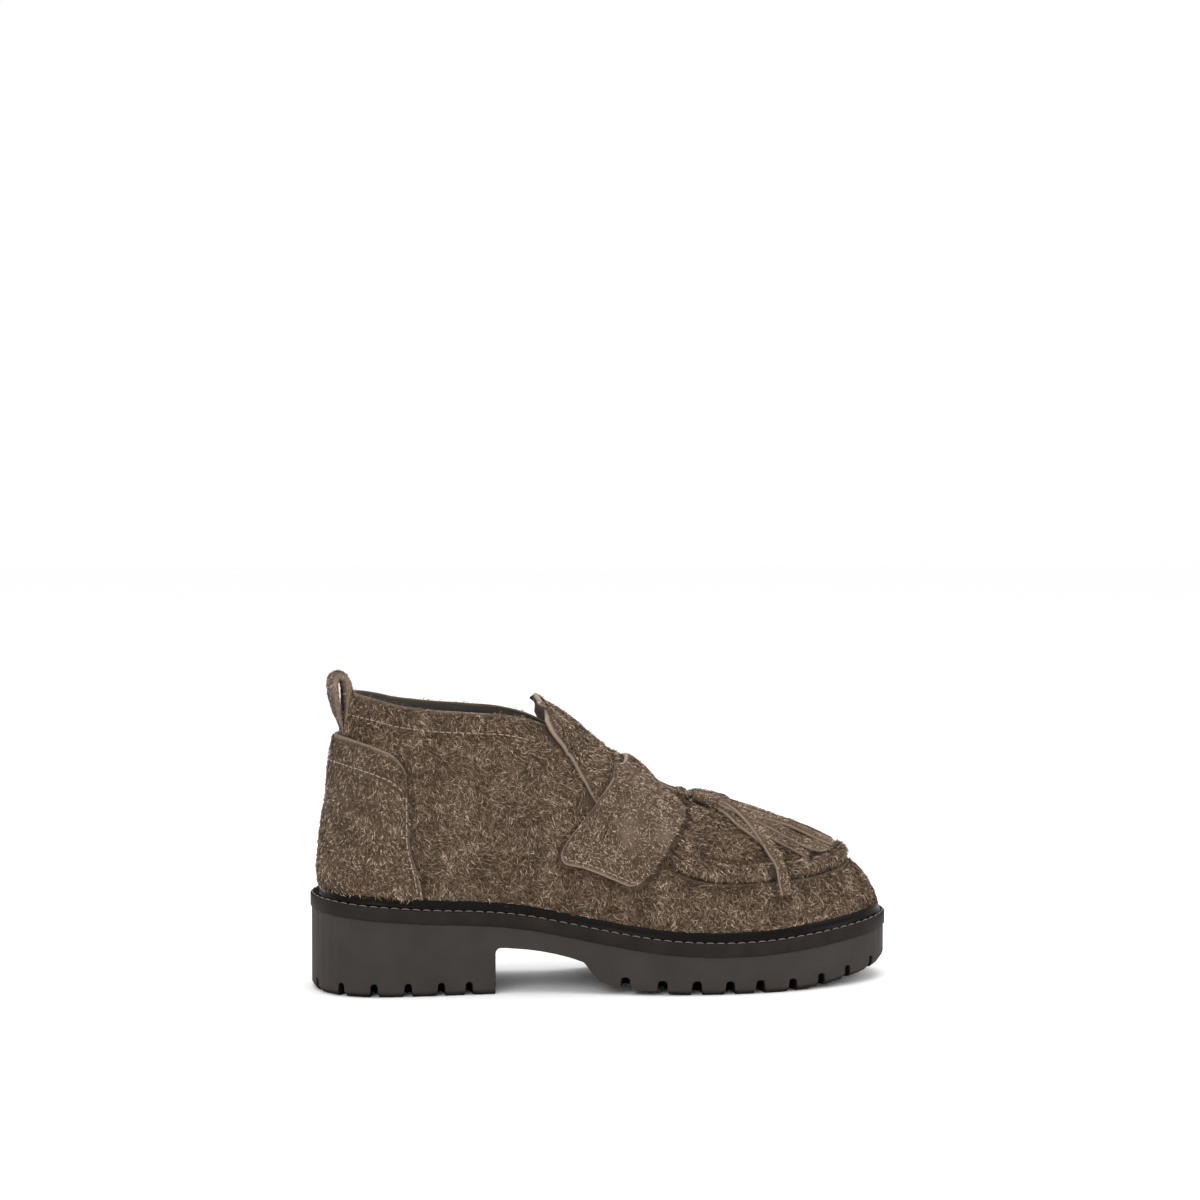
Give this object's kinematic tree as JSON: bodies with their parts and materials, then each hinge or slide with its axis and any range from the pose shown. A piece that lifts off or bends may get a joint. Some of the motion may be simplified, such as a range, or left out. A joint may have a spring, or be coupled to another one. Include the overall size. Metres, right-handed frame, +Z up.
{
  "type": "ankle-high tassel loafer boot, right",
  "caption": "Right ankle-high loafer boot: rolled moccasin apron seam, saddle strap, fringed tassels, tongue flap, heel counter, pull loop and a lugged rubber sole with a block heel.",
  "frame": {"origin": "on the ground under the middle of the overall box", "axes": "+X from heel to toe, +Y to the inner side of the foot, +Z up"},
  "size_m": [0.28, 0.1038, 0.1509],
  "materials": {
    "suede": "long-napped brown suede",
    "tassel": "brown suede strips with a plain cut edge",
    "lining": "smooth dark lining leather",
    "sole_rubber": "matt dark brown-grey rubber",
    "welt_rubber": "matt dark rubber, finely ribbed on top",
    "rand": "glossy, nearly black"
  },
  "bodies": {
    "root": {"outsole": "sole_rubber", "midsole": "welt_rubber", "insole": "lining", "rand": "rand", "upper": "suede", "pull_loop": "suede", "counter": "suede", "tongue": "suede", "saddle_strap": "suede", "tassel_thong": "tassel", "tassel_outer": "tassel", "tassel_inner": "tassel"}
  },
  "joints": []
}
